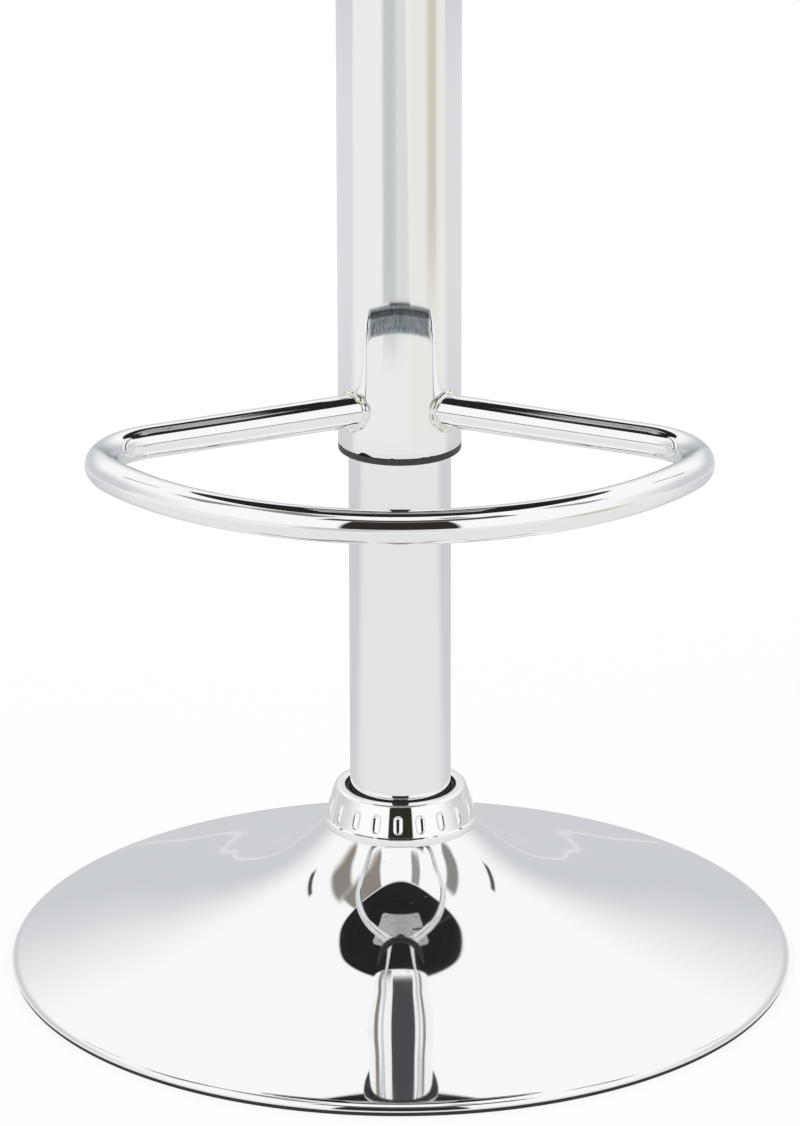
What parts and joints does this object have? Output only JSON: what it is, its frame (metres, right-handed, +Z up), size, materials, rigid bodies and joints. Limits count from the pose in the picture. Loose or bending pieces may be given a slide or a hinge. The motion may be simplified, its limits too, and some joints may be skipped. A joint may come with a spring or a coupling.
{
  "type": "counter stool",
  "caption": "Gas-lift counter stool: round padded seat, chromed sleeve with a D-shaped footrest, fixed column and trumpet base. Turns freely and adjusts in height.",
  "frame": {"origin": "on the floor, on the axis of the column", "axes": "+Z up along the column; the footrest's bow is at -Y, where the sitter's feet are; the height lever is at +X"},
  "size_m": [0.445, 0.445, 0.6552],
  "materials": {
    "chrome": "polished",
    "steel": "satin",
    "black_steel": "satin",
    "cast_iron": "matte",
    "rubber": "matte",
    "black_plastic": "satin",
    "black_vinyl": "satin",
    "plywood": "matte"
  },
  "bodies": {
    "base": {"base_shell": "chrome", "base_gasket": "rubber", "base_weight": "cast_iron", "base_hub": "steel", "base_bolt_1": "steel", "base_bolt_2": "steel", "base_bolt_3": "steel", "base_bolt_4": "steel", "collar_ring": "chrome", "collar_seal": "rubber", "column_tube": "chrome", "column_foot": "steel", "guide_bush": "black_plastic", "lower_race": "steel"},
    "bearing_cage": {"ball_cage": "steel"},
    "rod": {"upper_race": "steel", "piston_rod": "steel", "rod_clip": "black_steel", "rod_bumper": "rubber", "piston": "steel", "piston_seal": "rubber", "piston_nut": "steel"},
    "lift": {"gas_cylinder": "black_steel", "rod_guide": "steel", "rod_seal": "rubber", "valve_body": "steel", "sleeve_tube": "chrome", "sleeve_bush": "black_plastic", "sleeve_cap": "black_plastic", "footrest": "chrome", "seat_plate": "steel", "lever_pin": "steel", "dust_cover": "black_plastic", "seat_board": "plywood", "seat_band": "chrome", "seat_cushion": "black_vinyl", "seat_piping": "black_vinyl", "seat_bolt_1": "steel", "seat_bolt_2": "steel", "seat_bolt_3": "steel", "seat_bolt_4": "steel", "seat_washer_1": "steel", "seat_washer_2": "steel", "seat_washer_3": "steel", "seat_washer_4": "steel", "tee_nut_1": "steel", "tee_nut_2": "steel", "tee_nut_3": "steel", "tee_nut_4": "steel"},
    "valve": {"valve_pin": "steel"},
    "lever": {"height_lever": "black_steel", "lever_grip": "black_plastic"}
  },
  "joints": [
    {"name": "seat_swivel", "type": "hinge", "parent": "base", "child": "rod", "pos_m": [0, 0, 0.0317], "axis": [0, 0, 1], "continuous": true},
    {"name": "seat_height", "type": "slide", "parent": "rod", "child": "lift", "axis": [0, 0, 1], "range_m": [-0.158, 0.057]},
    {"name": "cage_turn", "type": "hinge", "parent": "base", "child": "bearing_cage", "pos_m": [0, 0, 0.0317], "axis": [0, 0, 1], "continuous": true},
    {"name": "height_lever", "type": "hinge", "parent": "lift", "child": "lever", "pos_m": [0.028, 0, 0.57126], "axis": [0, -1, 0], "range_deg": [0, 5.4], "stiffness_Nm_per_rad": 10, "springref_deg": -2.86},
    {"name": "valve_press", "type": "slide", "parent": "lift", "child": "valve", "axis": [0, 0, -1], "range_m": [0, 0.0031]}
  ],
  "couplings": [
    {"joint": "cage_turn", "follows": "seat_swivel", "ratio": 0.5},
    {"joint": "valve_press", "follows": "height_lever", "m_per_rad": 0.032}
  ]
}
